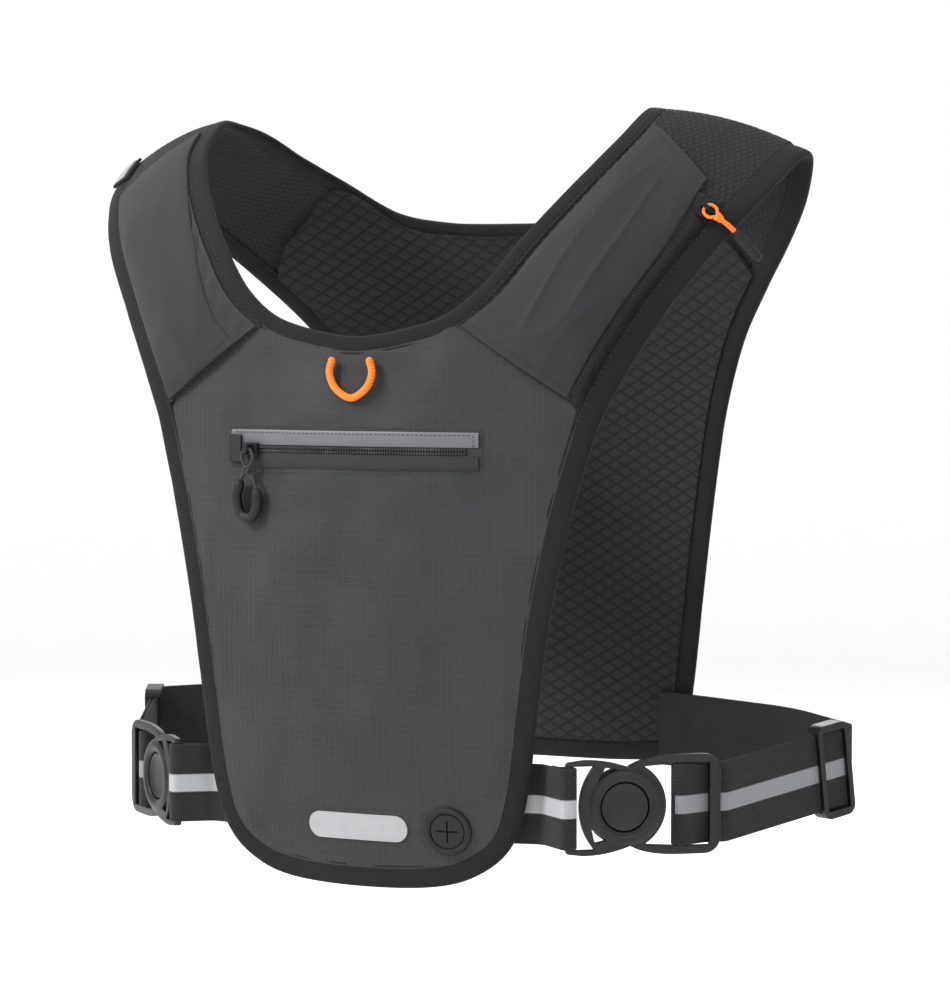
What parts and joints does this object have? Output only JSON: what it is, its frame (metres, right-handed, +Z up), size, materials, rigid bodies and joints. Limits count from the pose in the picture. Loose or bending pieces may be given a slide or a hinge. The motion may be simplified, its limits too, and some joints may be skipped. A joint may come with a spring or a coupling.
{
  "type": "running vest",
  "caption": "Short running vest with a front pocket panel, two shoulder pockets, a mesh back and an elastic belt with a round snap buckle on each side.",
  "frame": {"origin": "midway between the two shoulder straps, at the height of the neck-side edge of their crests, where the vest hangs on the wearer", "axes": "+Z up, the front of the vest faces -Y, +X is the wearer's left side"},
  "size_m": [0.3982, 0.2313, 0.3701],
  "materials": {
    "ripstop": "grid ripstop nylon, dull",
    "stretch": "smooth stretch knit, dull",
    "mesh": "diamond spacer mesh",
    "binding": "knitted elastic binding",
    "webbing": "ribbed elastic webbing with a reflective stripe",
    "plastic": "moulded, satin",
    "rubber": "smooth",
    "reflective": "silver-grey reflective film",
    "pull_cord": "thin braided cord",
    "orange_cord": "smooth braided cord",
    "metal": "black-coated"
  },
  "bodies": {
    "back": {"back_panel": "stretch", "back_lining": "mesh", "hem_binding_back": "binding", "neck_binding_back": "binding", "strap_mesh_back_left": "mesh", "armhole_binding_back_left": "binding", "strap_mesh_back_right": "mesh", "armhole_binding_back_right": "binding"},
    "front": {"front_panel": "ripstop", "front_lining": "mesh", "hem_binding_front": "binding", "neck_binding_front": "binding", "strap_mesh_front_left": "mesh", "armhole_binding_front_left": "binding", "pocket_flap_left": "stretch", "pocket_gusset_left": "stretch", "front_webbing_left": "webbing", "strap_mesh_front_right": "mesh", "armhole_binding_front_right": "binding", "pocket_flap_right": "stretch", "pocket_gusset_right": "stretch", "front_webbing_right": "webbing", "pocket_coil": "plastic", "zip_tape_upper": "ripstop", "zip_tape_lower": "ripstop", "zip_coil": "plastic", "zip_garage": "rubber", "reflective_bar": "reflective", "port_ring": "rubber", "port_diaphragm": "rubber", "tab_webbing": "webbing", "tab_reflector": "reflective"},
    "neck_loop": {"neck_loop": "orange_cord"},
    "zip_slider": {"zip_slider": "metal"},
    "zip_pull": {"zip_pull_cord": "pull_cord", "zip_pull_grip": "rubber"},
    "pocket_slider": {"pocket_slider": "metal"},
    "pocket_pull": {"pocket_pull_cord": "orange_cord", "pocket_pull_tip": "rubber"},
    "buckle_front_left": {"buckle_front_left": "plastic", "buckle_disc_left": "plastic"},
    "belt_left": {"belt_webbing_left": "webbing"},
    "buckle_belt_left": {"buckle_belt_left": "plastic", "buckle_magnet_left": "metal"},
    "triglide_left": {"triglide_left": "plastic"},
    "buckle_front_right": {"buckle_front_right": "plastic", "buckle_disc_right": "plastic"},
    "belt_right": {"belt_webbing_right": "webbing"},
    "buckle_belt_right": {"buckle_belt_right": "plastic", "buckle_magnet_right": "metal"},
    "triglide_right": {"triglide_right": "plastic"}
  },
  "joints": [
    {"name": "front_swing", "type": "hinge", "parent": "back", "child": "front", "pos_m": [0, -0.0286, 0.004], "axis": [-1, 0, 0], "range_deg": [0, 30]},
    {"name": "loop_flip", "type": "hinge", "parent": "front", "child": "neck_loop", "pos_m": [0, -0.11513, -0.1193], "axis": [-1, 0, 0], "range_deg": [0, 90]},
    {"name": "zip_travel", "type": "hinge", "parent": "front", "child": "zip_slider", "pos_m": [0, 0.19844, -0.1615], "axis": [0, 0, 1], "range_deg": [0, 19.8]},
    {"name": "zip_pull_swing", "type": "hinge", "parent": "zip_slider", "child": "zip_pull", "pos_m": [-0.05611, -0.11473, -0.1615], "axis": [-0.9845, 0.1755, 0], "range_deg": [0, 90]},
    {"name": "pocket_zip_travel", "type": "hinge", "parent": "front", "child": "pocket_slider", "pos_m": [0.12019, 0.0869, -0.15758], "axis": [0.8787, -0.1122, -0.464], "range_deg": [0, 28.2]},
    {"name": "pocket_pull_swing", "type": "hinge", "parent": "pocket_slider", "child": "pocket_pull", "pos_m": [0.1594, -0.06743, -0.0485], "axis": [-0.4189, -0.5982, -0.6832], "range_deg": [0, 60]},
    {"name": "buckle_front_fold_left", "type": "hinge", "parent": "front", "child": "buckle_front_left", "pos_m": [0.10497, -0.09902, -0.326], "axis": [0, 0, -1], "range_deg": [0, 60]},
    {"name": "belt_swing_left", "type": "hinge", "parent": "back", "child": "belt_left", "pos_m": [0.066, 0.10126, -0.312], "axis": [0, 0, -1], "range_deg": [0, 2.5]},
    {"name": "buckle_belt_fold_left", "type": "hinge", "parent": "belt_left", "child": "buckle_belt_left", "pos_m": [0.14503, -0.06157, -0.326], "axis": [0, 0, -1], "range_deg": [0, 30]},
    {"name": "belt_adjust_left", "type": "slide", "parent": "belt_left", "child": "triglide_left", "axis": [-0.4123, -0.902, -0.1284], "range_m": [0, 0.012]},
    {"name": "buckle_front_fold_right", "type": "hinge", "parent": "front", "child": "buckle_front_right", "pos_m": [-0.10497, -0.09902, -0.326], "axis": [0, 0, 1], "range_deg": [0, 60]},
    {"name": "belt_swing_right", "type": "hinge", "parent": "back", "child": "belt_right", "pos_m": [-0.066, 0.10126, -0.312], "axis": [0, 0, 1], "range_deg": [0, 2.5]},
    {"name": "buckle_belt_fold_right", "type": "hinge", "parent": "belt_right", "child": "buckle_belt_right", "pos_m": [-0.14503, -0.06157, -0.326], "axis": [0, 0, 1], "range_deg": [0, 30]},
    {"name": "belt_adjust_right", "type": "slide", "parent": "belt_right", "child": "triglide_right", "axis": [0.4123, -0.902, -0.1284], "range_m": [0, 0.012]}
  ]
}
